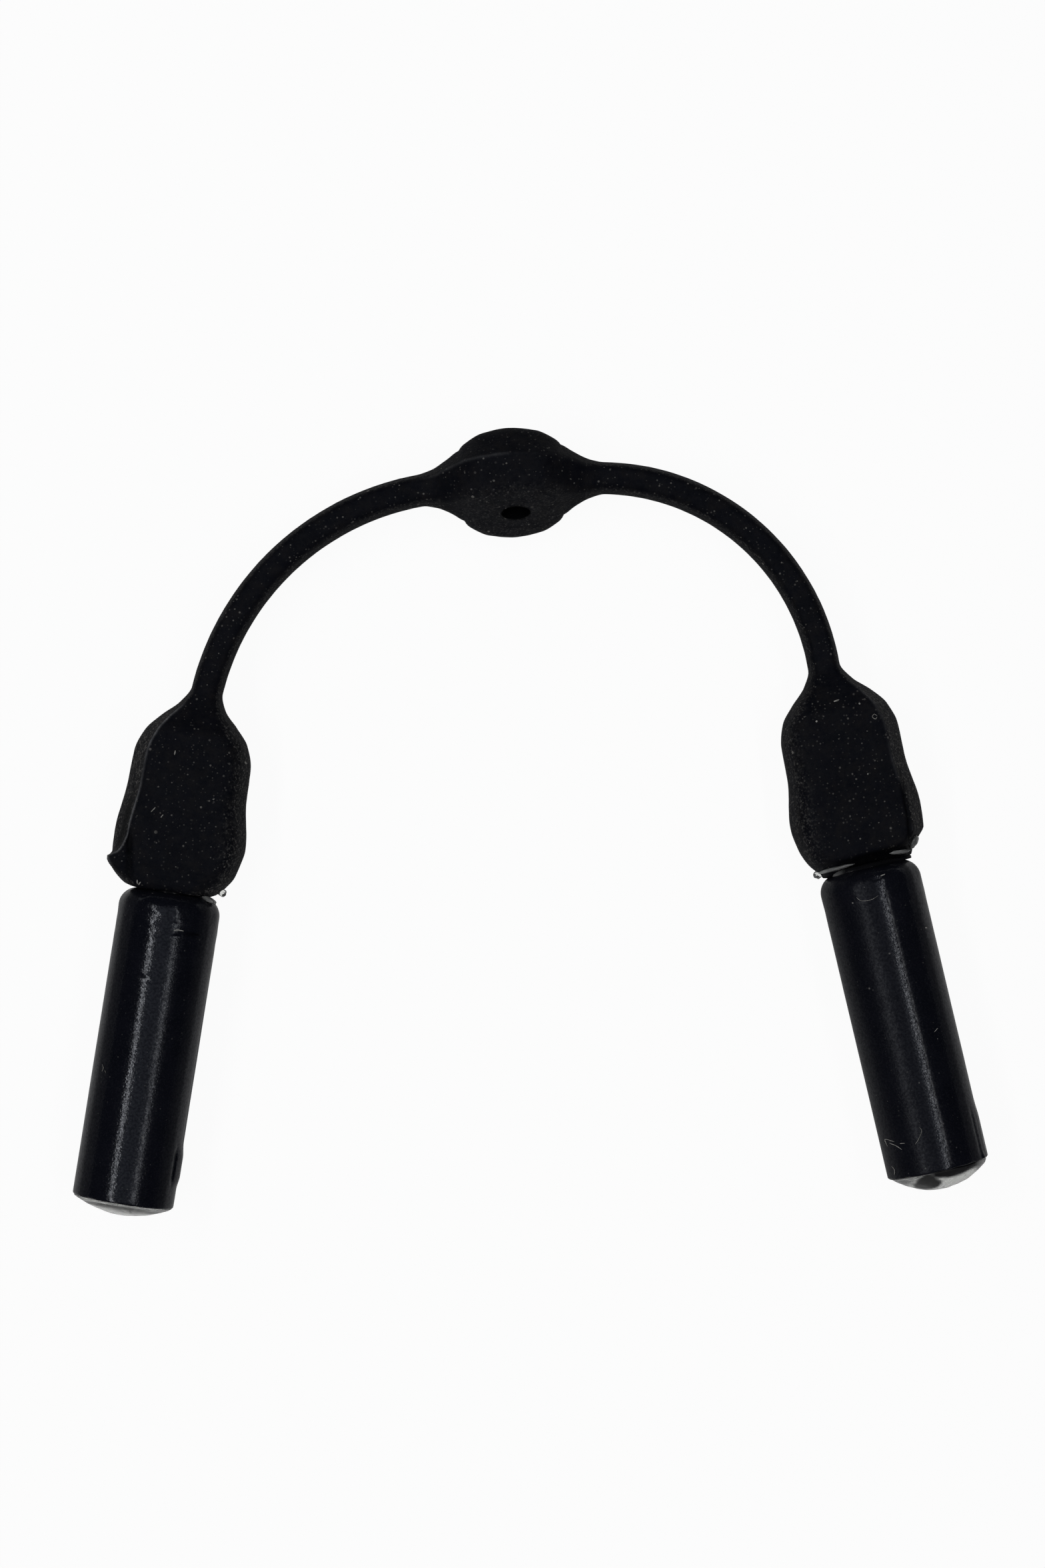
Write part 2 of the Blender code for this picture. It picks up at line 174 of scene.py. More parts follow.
def plateau(start, full, fading, gone, value):
    """0 up to start, 1 from full to fading, and 0 again from gone on."""
    return smooth(start, full, value) * (1 - smooth(fading, gone, value))


def hill(value, centre, width):
    return np.exp(-(((value - centre) / width) ** 2))


def smooth_value(places, values, at):
    """A value read from knots with a cubic that never overshoots them."""
    at = min(max(at, places[0]), places[-1])
    slopes = [(b - a) / (q - p) for a, b, p, q in zip(values, values[1:], places, places[1:])]
    tangents = [0.0]
    for before, after in zip(slopes, slopes[1:]):
        tangents.append(2 * before * after / (before + after) if before * after > 0 else 0.0)
    tangents.append(0.0)
    i = max(k for k in range(len(slopes)) if places[k] <= at)
    span = places[i + 1] - places[i]
    t = (at - places[i]) / span
    return (
        (2 * t**3 - 3 * t**2 + 1) * values[i]
        + (t**3 - 2 * t**2 + t) * span * tangents[i]
        + (3 * t**2 - 2 * t**3) * values[i + 1]
        + (t**3 - t**2) * span * tangents[i + 1]
    )


def spine(side, along):
    """(point, downward angle) on one side's centreline."""
    bend = SIDES[side]
    stretches = (
        (BOSS_STRAIGHT, 0.0),
        (BOSS_END - BOSS_STRAIGHT, math.radians(bend["droop"])),
        (bend["radius"] * math.radians(bend["turn"]), math.radians(bend["turn"])),
        (NECK_RUN, math.radians(bend["neck_turn"])),
    )
    x, y, angle, left = 0.0, 0.0, 0.0, along
    for length, turn in stretches:
        run = min(left, length)
        turned = turn * run / length
        chord = run if turned == 0 else 2 * run / turned * math.sin(turned / 2)
        x += chord * math.cos(angle + turned / 2)
        y -= chord * math.sin(angle + turned / 2)
        angle += turned
        left -= run
    x += left * math.cos(angle)
    y -= left * math.sin(angle)
    return np.array((bend["sign"] * x, y, MID_HEIGHT)), angle


def to_outside(side, angle):
    """Away from the inside of the U, where the centreline has turned by an angle."""
    return np.array((SIDES[side]["sign"] * math.sin(angle), math.cos(angle), 0.0))


def to_end(side, angle):
    """Along the centreline, away from the boss."""
    return np.array((SIDES[side]["sign"] * math.cos(angle), -math.sin(angle), 0.0))


def section(side, along):
    neck = SIDES[side]["neck"]
    rows = [(neck + row[0], *row[1:7], 0.0, 0.0, *row[7:]) for row in PADDLE_ROWS[side]]
    places, *tracks = zip(*BOSS_ROWS, *rows)
    return [smooth_value(places, track, along) for track in tracks]


def section_ring(side, along):
    """Across, rise and how near each point is to the crisp front corner, for one section."""
    outer, inner, high, outer_in, inner_in, back_in, level, outer_level, crisp, soft = section(side, along)
    corners = np.array(
        [
            (outer, outer_level),
            (outer - outer_in, high),
            (inner_in - inner, high),
            (-inner, level),
            (back_in - inner, -high),
            (outer - back_in, -high),
        ]
    )
    shares = (0.32, crisp, soft, 0.32, 0.3, 0.3)
    starts, ends = [], []
    for k, corner in enumerate(corners):
        before, after = corners[k - 1] - corner, corners[(k + 1) % 6] - corner
        reach = shares[k] * min(np.linalg.norm(before), np.linalg.norm(after))
        starts.append(corner + before / np.linalg.norm(before) * reach)
        ends.append(corner + after / np.linalg.norm(after) * reach)
    points, edge = [], []
    for k, corner in enumerate(corners):
        for step in range(CORNER_POINTS[k]):
            t = step / (CORNER_POINTS[k] - 1)
            points.append(starts[k] * (1 - t) ** 2 + corner * 2 * t * (1 - t) + ends[k] * t**2)
            edge.append(float(hill(t, 0.5, 0.26)) if k == FRONT_OUTER else 0.0)
        for step in range(1, EDGE_POINTS[k] + 1):
            t = step / (EDGE_POINTS[k] + 1)
            if k == FRONT_OUTER:
                t = t**1.35
            points.append(ends[k] * (1 - t) + starts[(k + 1) % 6] * t)
            edge.append(0.0)
    points = np.array(points)
    positive = points[:, 0] > 0
    points[positive, 0] *= outer / points[:, 0].max()
    points[~positive, 0] *= inner / -points[:, 0].min()
    return points[:, 0], points[:, 1], np.array(edge)


def grid_normals(grid):
    """Unit normals of a grid of points that closes on itself along its second axis."""
    along = np.gradient(grid, axis=0)
    around = np.roll(grid, -1, axis=1) - np.roll(grid, 1, axis=1)
    normals = np.cross(around, along)
    return normals / np.maximum(np.linalg.norm(normals, axis=2, keepdims=True), 1e-12)


def lumps(grid, size, seed):
    """Smooth noise from -1 to 1 at each point of a grid; size is its wavelength."""
    flat = grid.reshape(-1, 3) / size + seed * 17.3
    values = [noise.noise(Vector(point)) for point in flat]
    return np.array(values).reshape(grid.shape[:-1])


def strap_grid(side, alongs):
    """Rings of one side of the strap, with the frame of each ring."""
    rings = []
    for along in alongs:
        point, angle = spine(side, along)
        outer = to_outside(side, angle)
        across, rise, edge = section_ring(side, along)
        ring = point + np.outer(across, outer) + np.outer(rise, (0, 0, 1))
        rings.append((ring, across, rise, edge, outer))
    return [np.array(column) for column in zip(*rings)]


def strap_relief(side, along, from_neck, grid, across, front, edge):
    """How far each point of a strap grid stands out along its normal."""
    on_paddle = smooth(0.4, 2.2, from_neck)
    on_boss = 1 - smooth(2.6, 4.0, along)
    out = 0.016 * lumps(grid, 1.7, 1) * (0.35 + 0.65 * np.maximum(on_paddle, on_boss))
    out += 0.005 * lumps(grid, 0.42, 2)
    out += 0.004 * lumps(grid, 0.24, 3) * (1 - 0.6 * front)
    height, depth, reach = RIDGES[side]
    out += height * plateau(*reach, from_neck) * edge
    out -= depth * folds(side, from_neck, across, front)
    if side == "left":
        out += 0.05 * hill(across, 2.95, 0.3) * hill(from_neck, 9.0, 0.35) * front
    out += 0.03 * edge * (1 - smooth(3.2, 4.4, along)) * (1.0 if side == "left" else 0.4)
    out -= 0.05 * hill(along, 2.52, 0.1) * (1 - front)
    return out


def strap_dust(side, from_neck, across, normals, outers):
    """0 on clean faces to 1 where dust sits, mostly on the arms' and the paddles' sides."""
    on_paddle = smooth(0.2, 2.4, from_neck)
    sloping = 1 - smooth(0.55, 0.9, normals[..., 2])
    outward = np.einsum("ijk,ik->ij", normals, outers)
    paddle = sloping * (0.82 + 0.18 * outward)
    if side == "right":
        paddle *= 1 - 0.3 * smooth(0.2, 0.7, -outward)
    fringe = 0.48 * (1 - smooth(-3.0, -1.3, across)) * smooth(0.3, 0.8, normals[..., 2])
    paddle = np.maximum(paddle, fringe)
    paddle *= 1 - smooth(0.2, 0.6, outward) * smooth(*DUST_END[side], from_neck)
    if side == "right":
        paddle *= 1 - smooth(9.25, 9.45, from_neck)
    return np.clip(0.1 + 0.35 * sloping * (1 - on_paddle) + on_paddle * paddle, 0, 1)


def folds(side, from_neck, across, front):
    """The narrow groove beside each paddle's outer edge, 0 to 1."""
    if side == "left":
        line = hill(across, 2.45 - 0.158 * (from_neck - 7.5), 0.14)
        return line * plateau(6.9, 8.2, 9.6, 9.85, from_neck) * front
    line = hill(across, 2.5 - 0.02 * (from_neck - 4) - 0.12 * np.maximum(from_neck - 8, 0), 0.11)
    return line * plateau(4.6, 7.6, 9.2, 9.5, from_neck) * front


def edge_line_and_painted_shade(side, along, from_neck, across, front, edge):
    """Above 0 where the crisp front edge shows as a pale line, partly dust and partly a painted highlight;
    below 0 where painted shade darkens the folds, a strip beside the left ridge and the right paddle's
    foot.
    """
    full = 1.0 if side == "left" else 0.33
    waist = 1 - 0.65 * hill(from_neck, 4.2, 1.3)
    paddle = full * waist * plateau(0.6, 1.6, 9.0, 9.3, from_neck)
    # crest: the same pale line along the boss's crisp edge, partly dust and partly a painted highlight
    crest = (0.22 if side == "left" else 0.03) * (1 - smooth(3.4, 5.0, along))
    # painted shade: the grooves beside the outer edges are darkened
    dark = 0.9 * folds(side, from_neck, across, front)
    if side == "left":
        ridge = np.take_along_axis(across, edge.argmax(axis=1)[:, None], axis=1)
        # painted shadow: a dark strip beside the left ridge, where its undercut shades the band
        strip = hill(across, ridge + 0.3, 0.19) * plateau(4.8, 6.4, 8.2, 8.7, from_neck)
        dark = np.maximum(dark, 0.95 * strip * smooth(0, 0.5, front))
    else:
        # painted shade: the right paddle's foot is darkened next to the sleeve
        dark = np.maximum(dark, 0.75 * smooth(9.3, 9.5, from_neck) * smooth(-1.9, -0.9, across))
    return np.clip(edge**3 * (paddle + crest) - dark, -1, 1)


class Shape:
    """Points in millimetres and faces, gathered before they become one mesh."""

    def __init__(self):
        self.points, self.faces, self.extra, self.count = [], [], {"dust": [], "edge": []}, 0

    def add(self, points, faces, **extra):
        points = np.asarray(points, float).reshape(-1, 3)
        self.points.append(points)
        for key, kept in self.extra.items():
            kept.append(np.asarray(extra[key], float).ravel() if key in extra else np.zeros(len(points)))
        self.faces += [tuple(self.count + v for v in face) for face in faces]
        self.count += len(points)

    def add_rings(self, grid, closed=False, **extra):
        """A tube through the rings of a grid, capped at both ends or joined end to end."""
        rings, around = grid.shape[:2]
        faces = []
        for i in range(rings if closed else rings - 1):
            a, b = i * around, (i + 1) % rings * around
            faces += [(a + j, a + (j + 1) % around, b + (j + 1) % around, b + j) for j in range(around)]
        if not closed:
            faces += [tuple(range(around)), tuple(range((rings - 1) * around, rings * around))]
        self.add(grid, faces, **extra)

    def add_tube(self, path, radius):
        """A thin round fibre along a path."""
        path = np.asarray(path, float)
        rings = []
        side = np.array((0.0, 0.0, 1.0))
        for i, point in enumerate(path):
            ahead = path[min(i + 1, len(path) - 1)] - path[max(i - 1, 0)]
            ahead /= np.linalg.norm(ahead)
            side = side - ahead * (side @ ahead)
            side /= np.linalg.norm(side)
            other = np.cross(ahead, side)
            end = 1 - FIBRE_TAPER * abs(2 * i / (len(path) - 1) - 1) ** 4
            turns = [2 * math.pi * k / FIBRE_SIDES for k in range(FIBRE_SIDES)]
            rings.append([point + radius * end * (side * math.cos(a) + other * math.sin(a)) for a in turns])
        self.add_rings(np.array(rings))

    def mesh(self, name, sharp=40):
        points = np.concatenate(self.points)
        mesh = bpy.data.meshes.new(name)
        mesh.from_pydata((points * MM).tolist(), [], self.faces)
        bm = bmesh.new()
        bm.from_mesh(mesh)
        bmesh.ops.recalc_face_normals(bm, faces=bm.faces)
        bm.to_mesh(mesh)
        bm.free()
        mesh.shade_smooth()
        mesh.set_sharp_from_angle(angle=math.radians(sharp))
        for key, kept in self.extra.items():
            add_values(mesh, key, np.concatenate(kept))
        return mesh


def add_values(mesh, name, values):
    attribute = mesh.attributes.get(name) or mesh.attributes.new(name, "FLOAT", "POINT")
    attribute.data.foreach_set("value", np.asarray(values, np.float32))


def keep_rest(mesh):
    """Stores the rest position in millimetres, so that textures stay fixed to the surface."""
    places = np.zeros(len(mesh.vertices) * 3, np.float32)
    mesh.vertices.foreach_get("co", places)
    mesh.attributes.new("rest_mm", "FLOAT_VECTOR", "POINT").data.foreach_set("vector", places / MM)


def place_object(name, data):
    thing = bpy.data.objects.new(name, data)
    bpy.context.scene.collection.objects.link(thing)
    return thing


def make_piece(name, shape, material, sharp=40):
    """An object from a mesh or a Shape. Its edges are creased above sharp degrees."""
    mesh = shape if isinstance(shape, bpy.types.Mesh) else shape.mesh(name, sharp)
    keep_rest(mesh)
    piece = place_object(name, mesh)
    mesh.materials.append(material)
    return piece


# ---- materials ----


class Nodes:
    """The nodes of a new Principled material, which is given by its name, or of a world."""

    def __init__(self, owner):
        self.owner = bpy.data.materials.new(owner) if isinstance(owner, str) else owner
        self.owner.use_nodes = True
        self.tree = self.owner.node_tree
        self.shader = self.tree.nodes.get("Principled BSDF")

    def add(self, kind, values=None, **settings):
        """Adds a node. values maps an input's name or number to a constant or to another output."""
        node = self.tree.nodes.new(kind)
        for key, value in settings.items():
            setattr(node, key, value)
        for key, value in (values or {}).items():
            self.put(node.inputs[key], value)
        return node

    def put(self, socket, value):
        if isinstance(value, bpy.types.NodeSocket):
            self.tree.links.new(value, socket)
        else:  # a number, or a colour without its alpha
            socket.default_value = (*value, 1) if isinstance(value, tuple) else value

    def set(self, **values):
        for key, value in values.items():
            self.put(self.shader.inputs[key.replace("_", " ")], value)

    def attribute(self, name, output="Fac"):
        return self.add("ShaderNodeAttribute", attribute_name=name).outputs[output]

    def place(self):
        return self.attribute("rest_mm", "Vector")

    def noise(self, place, scale, detail=2.0, rough=0.5):
        values = {"Vector": place, "Scale": scale, "Detail": detail, "Roughness": rough}
        return self.add("ShaderNodeTexNoise", values).outputs["Fac"]

    def span(self, value, low, high, to_low=0, to_high=1):
        """Maps low..high to to_low..to_high, clamped."""
        values = {"Value": value, "From Min": low, "From Max": high, "To Min": to_low, "To Max": to_high}
        return self.add("ShaderNodeMapRange", values).outputs["Result"]

    def math(self, operation, a, b, clamp=False):
        return self.add("ShaderNodeMath", {0: a, 1: b}, operation=operation, use_clamp=clamp).outputs[0]

    def times(self, a, b, clamp=False):
        return self.math("MULTIPLY", a, b, clamp)

    def mix(self, factor, a, b):
        node = self.add("ShaderNodeMix", data_type="RGBA")
        self.put(node.inputs[0], factor)
        self.put(node.inputs[6], a)
        self.put(node.inputs[7], b)
        return node.outputs[2]

    def bump(self, height, distance):
        return self.add("ShaderNodeBump", {"Height": height, "Distance": distance}).outputs["Normal"]

    def specks(self, place, scale, radius, share):
        """Scattered round specks. share, 0 to 1, is how many of the cells have one."""
        cells = self.add("ShaderNodeTexVoronoi", {"Vector": place, "Scale": scale})
        pick = self.add("ShaderNodeSeparateColor", {0: cells.outputs["Color"]})
        chosen = self.math("LESS_THAN", pick.outputs[0], share)
        size = self.span(pick.outputs[1], 0, 1, 0.45 * radius * scale, radius * scale)
        near = self.math("SUBTRACT", size, cells.outputs["Distance"])
        near = self.span(near, 0, 0.25 * radius * scale)
        near = self.times(near, self.span(pick.outputs[2], 0, 1, 0.25, 1))
        return self.times(near, chosen)


def silicone(name):
    """Dull black silicone with fine grain, dust lying on its sloping faces, pale specks, a pale line on the
    crisp front edge that is partly dust and partly a painted highlight, and painted shade drawn near black.
    """
    n = Nodes(name)
    place = n.place()
    dust = n.attribute("dust")
    mottle = n.noise(place, 0.8, 4.0, 0.6)
    base = n.mix(n.span(mottle, 0.35, 0.68), (0.0042, 0.0047, 0.0082), (0.0074, 0.0079, 0.0122))
    grain = n.noise(place, 11.0, 2.0, 0.6)
    film = n.span(n.noise(place, 2.6, 3.0, 0.65), 0.42, 0.7)
    base = n.mix(n.times(n.times(film, dust), 0.8), base, (0.05, 0.049, 0.05))
    haze = n.span(n.noise(place, 1.5, 5.0, 0.75), 0.46, 0.7, 0, 0.6)
    base = n.mix(haze, base, (0.0205, 0.0182, 0.0178))
    sand = n.span(n.noise(place, 7.5, 2.5, 0.7), 0.52, 0.67)
    sand = n.times(sand, n.span(dust, 0.2, 0.95))
    base = n.mix(sand, base, (0.23, 0.221, 0.21))
    tiny = n.specks(place, 5.2, 0.055, 0.8)
    small = n.specks(place, 3.4, 0.065, n.span(dust, 0, 1, 0.6, 0.95))
    large = n.specks(place, 1.5, 0.1, n.span(dust, 0, 1, 0.35, 0.6))
    pale = n.math("ADD", n.times(tiny, 0.32), n.times(small, 0.6), clamp=True)
    pale = n.math("ADD", pale, large, clamp=True)
    pale = n.times(pale, n.span(n.noise(place, 2.4, 1, 0.5), 0.36, 0.64, 0.4, 1))
    base = n.mix(pale, base, (0.42, 0.4, 0.37))
    mark = n.attribute("edge")
    # edge above 0: the pale edge line, partly dust and partly a painted highlight
    line = n.times(mark, n.span(film, 0, 0.8, 0.6, 1), clamp=True)
    base = n.mix(line, base, (0.27, 0.27, 0.28))
    # edge below 0: painted shade, drawn near black
    base = n.mix(n.times(mark, -1.0, clamp=True), base, (0.001, 0.001, 0.0015))
    rough = n.span(grain, 0.3, 0.7, 0.48, 0.66)
    rough = n.math("ADD", rough, n.times(n.math("MAXIMUM", sand, pale), 0.25), clamp=True)
    height = n.math("ADD", grain, n.times(n.noise(place, 4.5, 1.0), 1.5))
    height = n.math("ADD", height, n.times(sand, 1.2))
    height = n.math("ADD", height, n.times(pale, 1.5))
    n.set(Base_Color=base, Roughness=rough, Normal=n.bump(height, 1.6e-5))
    n.set(Specular_Tint=(0.84, 0.91, 1.0), Specular_IOR_Level=0.09)
    return n.owner


def sleeve_skin(name):
    """Satin blue-black shrink sleeve with an orange-peel grain and a few specks.

    Here dust is how dull it has worn, and edge is a painted highlight line above 0 and painted shade along
    a fold below 0."""
    n = Nodes(name)
    place = n.place()
    wear_and_painted_light = n.attribute("dust")
    mottle = n.noise(place, 0.7, 3.0, 0.6)
    base = n.mix(n.span(mottle, 0.35, 0.7), (0.0066, 0.0074, 0.0122), (0.0105, 0.0112, 0.0175))
    peel = n.noise(place, 7.5, 1.0, 0.5)
    fine = n.noise(place, 12.0, 1.0, 0.5)
    base = n.mix(n.span(fine, 0.52, 0.7, 0, 0.5), base, (0.02, 0.02, 0.028))
    faint = n.specks(place, 4.2, 0.05, 0.3)
    specks = n.specks(place, 1.9, 0.055, 0.35)
    specks = n.math("ADD", specks, n.times(faint, 0.25), clamp=True)
    base = n.mix(specks, base, (0.28, 0.27, 0.26))
    mark = n.attribute("edge")
    glint = n.span(n.noise(place, 8.0, 1, 0.5), 0.38, 0.62)
    # pale line: a painted highlight, broken up by the glint noise
    line = n.times(mark, n.span(glint, 0, 1, 0.35, 1), clamp=True)
    base = n.mix(line, base, (0.17, 0.17, 0.178))
    # edge below 0: painted shade, drawn near black
    base = n.mix(n.times(mark, -1.0, clamp=True), base, (0.0008, 0.0008, 0.0012))
    rough = n.span(fine, 0.3, 0.7, 0.12, 0.19)
    rough = n.math("ADD", rough, n.times(wear_and_painted_light, 0.22), clamp=True)
    height = n.math("ADD", n.times(peel, 0.38), n.times(fine, 0.5))
    n.set(Base_Color=base, Roughness=rough, Normal=n.bump(height, 1.3e-5))
    level = n.times(n.span(glint, 0, 1, 0.3, 0.62), n.span(wear_and_painted_light, 0, 1, 1, 0.3))
    n.set(Specular_Tint=(0.9, 0.93, 1.0), Specular_IOR_Level=level)
    return n.owner


def adhesive(name):
    """Clear cast adhesive, a little cloudy, with bubbles. dust is how milky it is, edge how dark: painted
    shade under the sleeve's rim, on the collar and on the drops, and a dark inclusion in the right dome.
    """
    n = Nodes(name)
    place = n.place()
    milky = n.attribute("dust")
    dark = n.attribute("edge")
    cloud = n.noise(place, 1.6, 4.0, 0.6)
    bubbles = n.specks(place, 2.8, 0.09, 0.5)
    base = n.mix(n.span(cloud, 0.35, 0.7), (0.76, 0.77, 0.74), (0.95, 0.955, 0.94))
    base = n.mix(bubbles, base, (0.35, 0.35, 0.34))
    # edge: painted shade and the dark inclusion, drawn near black and opaque
    base = n.mix(dark, base, (0.012, 0.012, 0.014))
    clear = n.span(cloud, 0.35, 0.7, 0.97, 0.86)
    clear = n.math("SUBTRACT", clear, n.times(milky, 0.45), clamp=True)
    clear = n.times(clear, n.span(dark, 0, 1, 1, 0))
    height = n.math("ADD", n.noise(place, 3.0, 3.0, 0.6), bubbles)
    n.set(Base_Color=base, Roughness=n.span(cloud, 0.3, 0.7, 0.05, 0.18), Normal=n.bump(height, 2e-5))
    n.set(Transmission_Weight=clear, IOR=1.46, Specular_IOR_Level=n.span(dark, 0, 1, 0.5, 0.1))
    return n.owner


def steel(name):
    n = Nodes(name)
    brushed = n.add("ShaderNodeTexCoord").outputs["Object"]
    lines = n.noise(brushed, 900.0, 3.0, 0.6)
    n.set(Base_Color=n.mix(lines, (0.42, 0.42, 0.43), (0.62, 0.62, 0.63)))
    n.set(Metallic=1, Roughness=n.span(lines, 0.3, 0.7, 0.25, 0.42), Normal=n.bump(lines, 5e-6))
    return n.owner


def lint_fibre(name):
    n = Nodes(name)
    place = n.place()
    tone = n.span(n.noise(place, 3.0, 2.0), 0.35, 0.65)
    n.set(Base_Color=n.mix(tone, (0.32, 0.31, 0.28), (0.62, 0.6, 0.56)), Roughness=0.7)
    n.set(Normal=n.bump(n.noise(place, 20, 1), 3e-6))
    return n.owner


# ---- the strap ----


def side_alongs(start, end):
    count = max(2, round((end - start) / RING_STEP))
    return [start + (end - start) * k / count for k in range(count + 1)]


def finished_grid(side, alongs):
    """A stretch of strap with its relief, dust, pale edge line and painted shade. Neighbouring stretches
    share a ring.
    """
    padded = [alongs[0] - PADDING] + alongs + [alongs[-1] + PADDING]
    along = np.array(padded)[:, None]
    from_neck = along - SIDES[side]["neck"]
    grid, across, rise, edge, outers = strap_grid(side, [abs(a) for a in padded])
    front = smooth(0.3, 0.9, rise / np.maximum(rise.max(axis=1, keepdims=True), 1e-6))
    normals = grid_normals(grid)
    facing = grid - grid.mean(axis=1, keepdims=True)
    if (normals * facing).sum() < 0:
        normals = -normals
    relief = strap_relief(side, along, from_neck, grid, across, front, edge)
    made = grid + normals * relief[..., None]
    foot = smooth(8.6, 9.8, from_neck) * FOOT_SHEAR[side] * across
    made += foot[..., None] * np.cross(outers, (0, 0, SIDES[side]["sign"]))[:, None]
    dust = strap_dust(side, from_neck, across, normals, outers)
    # the pale edge line and the painted shade, carried as the edge attribute
    wear_and_painted_light = edge_line_and_painted_shade(side, along, from_neck, across, front, edge)
    return made[1:-1], dust[1:-1], wear_and_painted_light[1:-1]


def end_cap(grid, extras, depth):
    """Closes the paddle's end with rings that round over and draw in to a small face."""
    centre = grid[-1].mean(axis=0)
    closing = ((0.93, 0.35), (0.84, 0.75), (0.72, 1.0), (0.45, 1.0), (0.15, 1.0))  # size, depth
    rings = [((grid[-1] - centre) * size + centre + depth * sink)[None] for size, sink in closing]
    faded = [np.concatenate([extra] + [extra[-1:] * 0.3] * len(closing)) for extra in extras]
    return np.concatenate([grid] + rings), faded


def drill_hole(solid):
    """A new mesh of the boss with its hole, in place of the solid one."""
    bm = bmesh.new()
    radius = HOLE_RADIUS * MM
    bmesh.ops.create_cone(bm, cap_ends=True, segments=72, radius1=radius, radius2=radius, depth=16 * MM)
    drill_mesh = bpy.data.meshes.new("drill")
    bm.to_mesh(drill_mesh)
    bm.free()
    drill = place_object("drill", drill_mesh)
    drill.location = HOLE_MOUTH * MM
    drill.rotation_euler = (HOLE_SLOPE, 0, 0)
    drill.scale = (1, HOLE_SQUASH, 1)
    cut = solid.modifiers.new("hole", "BOOLEAN")
    cut.operation = "DIFFERENCE"
    cut.solver = "EXACT"
    cut.object = drill
    bpy.context.view_layer.update()
    drilled = bpy.data.meshes.new_from_object(solid.evaluated_get(bpy.context.evaluated_depsgraph_get()))
    for extra in (solid, drill):
        bpy.data.objects.remove(extra)
    drilled.name = "boss_bead"
    drilled.materials.clear()
    drilled.shade_smooth()
    drilled.set_sharp_from_angle(angle=math.radians(38))
    return drilled


def paint_boss(mesh):
    """Dust on the boss's lower faces, a faint pale crest that is partly dust and partly a painted
    highlight, and painted shade inside the hole.
    """
    normals = np.array([v.normal for v in mesh.vertices])
    places = np.array([v.co for v in mesh.vertices]) / MM
    sloping = 1 - smooth(0.45, 0.95, normals[:, 2])
    lower = smooth(0, 0.7, -normals[:, 1]) * smooth(-0.6, 0.0, normals[:, 2])
    width = smooth(3.4, 2.2, abs(places[:, 0]))
    dust = 0.1 + width * (0.22 * lower + 0.06 * sloping)
    from_mouth = places - np.array(HOLE_MOUTH)
    high = from_mouth[:, 1] * math.cos(HOLE_SLOPE) + from_mouth[:, 2] * math.sin(HOLE_SLOPE)
    in_hole = np.hypot(from_mouth[:, 0] / HOLE_RADIUS, high / (HOLE_RADIUS * HOLE_SQUASH))
    edge = np.zeros(len(places), np.float32)
    mesh.attributes["edge"].data.foreach_get("value", edge)
    edge += width * (0.025 * lower + 0.01)
    # painted shade: the inside of the hole is drawn near black
    edge[in_hole < 1.01] = -0.9
    add_values(mesh, "edge", edge)
    add_values(mesh, "dust", np.clip(dust, 0, 1))


def boss_piece(material):
    left, _, left_edge = finished_grid("left", side_alongs(0.0, BOSS_CUT))
    right, _, right_edge = finished_grid("right", side_alongs(0.0, BOSS_CUT))
    middle = (left[:1] + right[:1]) / 2
    shape = Shape()
    edge = np.concatenate((left_edge[:0:-1], right_edge))
    shape.add_rings(np.concatenate((left[:0:-1], middle, right[1:])), edge=edge)
    drilled = drill_hole(place_object("boss_solid", shape.mesh("boss_bead")))
    paint_boss(drilled)
    return make_piece("boss_bead", drilled, material)


def strap_point(side, along):
    return Vector(spine(side, along)[0]) * MM


def strap_pieces(side, material):
    neck = SIDES[side]["neck"]
    hinge = neck - NECK_HINGE_BACK
    root = Shape()
    grid, dust, edge = finished_grid(side, side_alongs(BOSS_CUT, ARM_CUT))
    root.add_rings(grid, dust=dust, edge=edge)
    arm = make_piece(f"{side}_strap_root", root, material)
    strap_point(side, ROOT_BEND[0])
    strap_point(side, ROOT_BEND[1])
    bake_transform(arm)
    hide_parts(f"{side}_strap_arm")

    tail = Shape()
    grid, dust, edge = finished_grid(side, side_alongs(ARM_CUT, neck + SHOWN_PADDLE[side]))
    _, angle = spine(side, neck + PADDLE_LENGTH)
    grid, (dust, edge) = end_cap(grid, (dust, edge), to_end(side, angle) * FOOT_DEPTH)
    tail.add_rings(grid, dust=dust, edge=edge)
    paddle = make_piece(f"{side}_strap_paddle", tail, material)
    ends = [strap_point(side, hinge + reach) for reach in NECK_BEND]
    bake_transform(paddle)
    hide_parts(f"{side}_paddle")


# ---- the rods ----


def rod_axes(side):
    """Top of the sleeve, down the rod, and sideways towards +X."""
    top, angle = spine(side, SIDES[side]["neck"] + PADDLE_LENGTH + BOND_LENGTH)
    angle += math.radians(SIDES[side]["rod_turn"])
    down = to_end(side, angle)
    return top, down, np.array((-down[1], down[0], 0.0))


def columns(profile):
    """A profile's radii and distances down, as two columns."""
    table = np.array(profile)
    return table[:, :1], table[:, 1:]


def round_grid(side, profile, steps, relief):
    """Rings about a rod's axis, and the angle of each column. relief may move (radius, distance down).

    The angle round the rod is 0 at the front and grows towards +X."""
    top, down, across = rod_axes(side)
    turns = np.linspace(0, 2 * math.pi, steps, endpoint=False)
    turns = (turns + math.pi) % (2 * math.pi) - math.pi
    radius, run = (column + np.zeros(steps) for column in columns(profile))
    radius, run = relief(radius, run, turns[None] + np.zeros_like(radius))
    radial = np.outer(np.sin(turns), across) + np.outer(np.cos(turns), (0, 0, 1))
    return top + run[..., None] * down + radius[..., None] * radial[None], turns


def around_rod(radius, run, turn):
    return np.stack((np.sin(turn) * radius, np.cos(turn) * radius, run), axis=-1)


